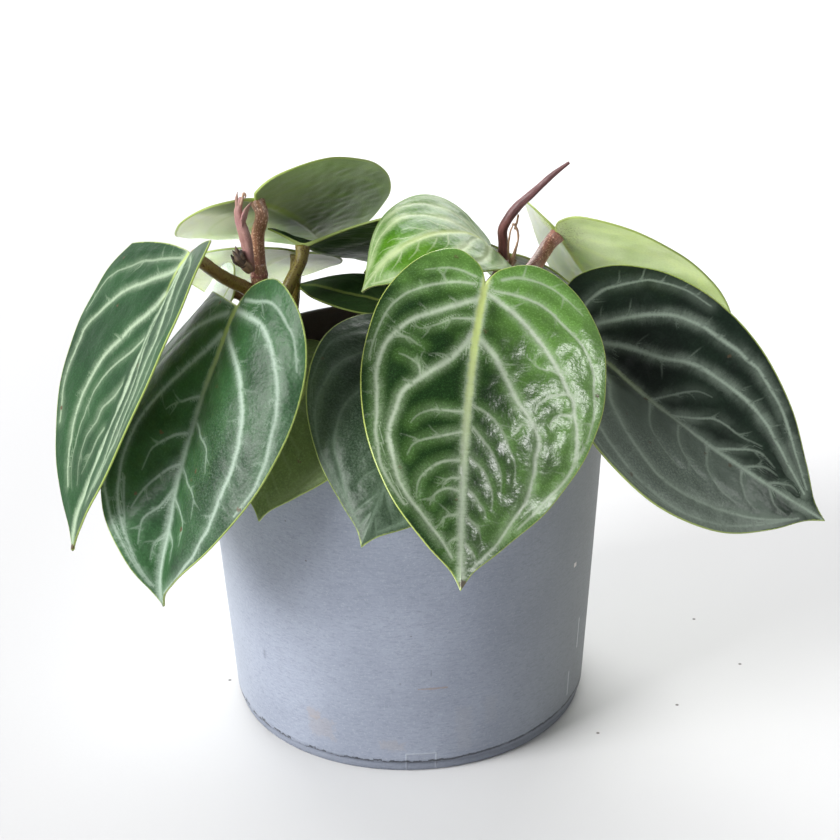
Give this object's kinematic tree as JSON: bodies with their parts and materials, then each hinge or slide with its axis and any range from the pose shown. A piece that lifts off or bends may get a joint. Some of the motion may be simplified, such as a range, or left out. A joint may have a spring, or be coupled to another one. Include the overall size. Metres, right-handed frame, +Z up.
{
  "type": "potted plant",
  "caption": "Potted peperomia: heart-shaped, silver-veined leaves on red-brown stalks over a plain round grey plastic pot, as table decoration.",
  "frame": {"origin": "centre of the pot's underside, on the plane it stands on", "axes": "+Z up the pot's axis; -Y towards the front of the plant; +X to its right seen from the front"},
  "size_m": [0.2198, 0.171, 0.1699],
  "materials": {
    "pot": "matte blue-grey moulded plastic with a fine horizontal grain",
    "soil": "dark peat with loose fibres; stands in for soil",
    "leaf": "fleshy dark green leaf, silver veins, soft gloss; stands in for leaf tissue",
    "young": "fleshy bright green young leaf with white veins; stands in for leaf tissue",
    "stem": "red-brown speckled stalk, satin; stands in for plant tissue",
    "spike": "smooth red-brown flower spike; stands in for plant tissue",
    "bract": "dry pink-tan bract; stands in for plant tissue",
    "bud": "dark dried bud; stands in for plant tissue"
  },
  "bodies": {
    "root": {"pot": "pot", "soil": "soil", "shoot_left": "stem", "shoot_middle": "stem", "shoot_right": "stem", "flower_spike": "spike", "bract_left": "bract", "bud_left": "bud", "bract_right": "bract", "leaf_front": "leaf", "leaf_front_left": "leaf", "leaf_far_left": "leaf", "leaf_right": "leaf", "leaf_front_mid": "leaf", "leaf_low_left": "leaf", "leaf_young": "young", "leaf_back_right": "leaf", "leaf_back_left": "leaf", "leaf_back_mid": "leaf", "leaf_rear_left": "leaf", "leaf_rear_mid": "leaf", "leaf_inner": "leaf", "leaf_rear_right": "leaf", "leaf_under_left": "leaf"}
  },
  "joints": []
}
